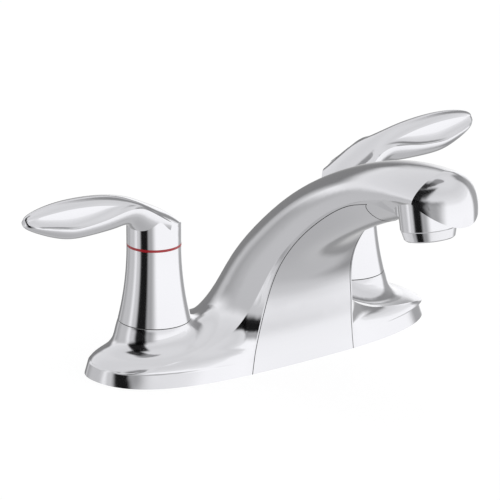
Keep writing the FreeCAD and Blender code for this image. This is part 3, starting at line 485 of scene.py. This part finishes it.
# %% Studio
# height as a sine, light
TENT = ((-1.0, 0.5), (-0.8, 0.56), (-0.64, 0.68), (-0.46, 1.06), (-0.25, 1.13), (0.15, 1.1),
        (0.3, 0.92), (0.48, 0.82), (0.7, 0.76), (1.0, 0.82))
CARDS = {
    # azimuths of the left and right edge and their softness; bottom, top and fade; depth.
    # A top above 1 leaves no edge overhead.
    "grey card on the right": (86.0, 120.0, 7.0, -0.4, 0.78, 0.12, 0.62),
    "grey card over the back": (116.0, 152.0, 8.0, 0.25, 0.44, 0.05, 0.55),
    "low card on the right": (60.0, 100.0, 9.0, -0.72, -0.48, 0.05, 0.5),
    "low card behind": (100.0, 178.0, 9.0, -0.74, -0.36, 0.05, 0.5),
    "grey card at the back": (142.0, 180.0, 8.0, -0.38, 0.3, 0.08, 0.78),
    "low grey card": (182.0, 200.0, 10.0, -0.5, 0.12, 0.12, 0.6),
    "wide grey card at the back": (196.0, 238.0, 10.0, -0.4, 0.26, 0.1, 0.46),
    "flank at the back": (246.0, 266.0, 6.0, -0.75, 0.4, 0.1, 0.4),
    "black card overhead": (242.0, 293.0, 5.0, 0.28, 0.88, 0.05, 0.985),
    "black card at the top": (214.0, 262.0, 7.0, 0.75, 0.95, 0.03, 0.93),
    "grey card at the top": (176.0, 262.0, 8.0, 0.9, 2.0, 0.03, 0.6),
    "black card": (264.0, 299.0, 6.0, -0.75, 0.4, 0.08, 0.99),
    "flank by the faucet": (294.0, 323.0, 13.0, -0.7, 0.36, 0.07, 0.62),
}
FIRST_AZIMUTH, LAST_AZIMUTH = 20.0, 380.0


def ramp_place(height):
    """Where a height from -1 to 1 falls on a colour ramp."""
    return height * 0.5 + 0.5


def tent_light(tree, height):
    """The light of the bare tent at a height."""
    tent = tree.nodes.new("ShaderNodeValToRGB")
    tent.color_ramp.interpolation = "EASE"
    elements = tent.color_ramp.elements
    for element, (level, value) in zip(elements, (TENT[0], TENT[-1])):
        element.position = ramp_place(level)
        element.color = grey(value)
    for level, value in TENT[1:-1]:
        elements.new(ramp_place(level)).color = grey(value)
    tree.links.new(add_maths(tree, "MULTIPLY_ADD", height, 0.5, 0.5), tent.inputs["Fac"])
    return tent.outputs["Color"]


def studio_world():
    """A white tent with grey and black cards, as a function of direction."""
    world = bpy.data.worlds.new("studio")
    bpy.context.scene.world = world
    world.use_nodes = True
    tree = world.node_tree
    tree.nodes.clear()
    link = tree.links.new
    place = tree.nodes.new("ShaderNodeTexCoord")
    split = tree.nodes.new("ShaderNodeSeparateXYZ")
    link(place.outputs["Generated"], split.inputs["Vector"])
    front = add_maths(tree, "MULTIPLY", split.outputs["Y"], -1.0)
    azimuth = add_maths(tree, "ARCTAN2", split.outputs["X"], front)
    azimuth = add_maths(tree, "DEGREES", azimuth)
    azimuth = add_maths(tree, "WRAP", azimuth, LAST_AZIMUTH, FIRST_AZIMUTH)
    height = split.outputs["Z"]
    light = tent_light(tree, height)
    group = card_group()
    for name, edges in CARDS.items():
        card = tree.nodes.new("ShaderNodeGroup")
        card.node_tree = group
        card.label = name
        for key, value in zip(CARD_EDGES, edges):
            card.inputs[key].default_value = value
        link(azimuth, card.inputs["Azimuth"])
        link(height, card.inputs["Height"])
        link(light, card.inputs["Light"])
        light = card.outputs["Light"]
    studio = tree.nodes.new("ShaderNodeBackground")
    link(light, studio.inputs["Color"])
    plain = add(tree, "ShaderNodeBackground", Color=grey(1.0))
    path = tree.nodes.new("ShaderNodeLightPath")
    mix = tree.nodes.new("ShaderNodeMixShader")
    link(path.outputs["Is Camera Ray"], mix.inputs["Fac"])
    link(studio.outputs[0], mix.inputs[1])
    link(plain.outputs[0], mix.inputs[2])
    output = tree.nodes.new("ShaderNodeOutputWorld")
    link(mix.outputs[0], output.inputs["Surface"])


studio_world()


# %% [markdown]
# The floor is a plain white table. Part of its white is light of its own for the camera, so that it
# stays white and keeps a faint shadow. Mirror rays pass through it, so that the chrome shows the
# ground of the studio.

# %% Floor
TABLE_REACH = 3.0
TABLE_GREY = 0.24
OWN_LIGHT = 0.865


def white_floor():
    """A white table top at the deck's height."""
    mesh = bpy.data.meshes.new("floor")
    corners = [(x * TABLE_REACH, y * TABLE_REACH, 0)
               for x, y in ((-1, -1), (1, -1), (1, 1), (-1, 1))]
    mesh.from_pydata(corners, [], [(0, 1, 2, 3)])
    floor = bpy.data.objects.new("floor", mesh)
    bpy.context.scene.collection.objects.link(floor)
    material, tree = new_material("white_table")
    link = tree.links.new
    matte = add(tree, "ShaderNodeBsdfDiffuse", Color=grey(TABLE_GREY))
    glow = add(tree, "ShaderNodeEmission", Color=grey(1.0))
    path = tree.nodes.new("ShaderNodeLightPath")
    for_camera = add_maths(tree, "MULTIPLY", path.outputs["Is Camera Ray"], OWN_LIGHT)
    link(for_camera, glow.inputs["Strength"])
    both = tree.nodes.new("ShaderNodeAddShader")
    clear = tree.nodes.new("ShaderNodeBsdfTransparent")
    mix = tree.nodes.new("ShaderNodeMixShader")
    output = tree.nodes.new("ShaderNodeOutputMaterial")
    link(matte.outputs[0], both.inputs[0])
    link(glow.outputs[0], both.inputs[1])
    link(path.outputs["Is Glossy Ray"], mix.inputs["Fac"])
    link(both.outputs[0], mix.inputs[1])
    link(clear.outputs[0], mix.inputs[2])
    link(mix.outputs[0], output.inputs["Surface"])
    mesh.materials.append(material)


white_floor()
bpy.context.scene.view_settings.view_transform = "Standard"
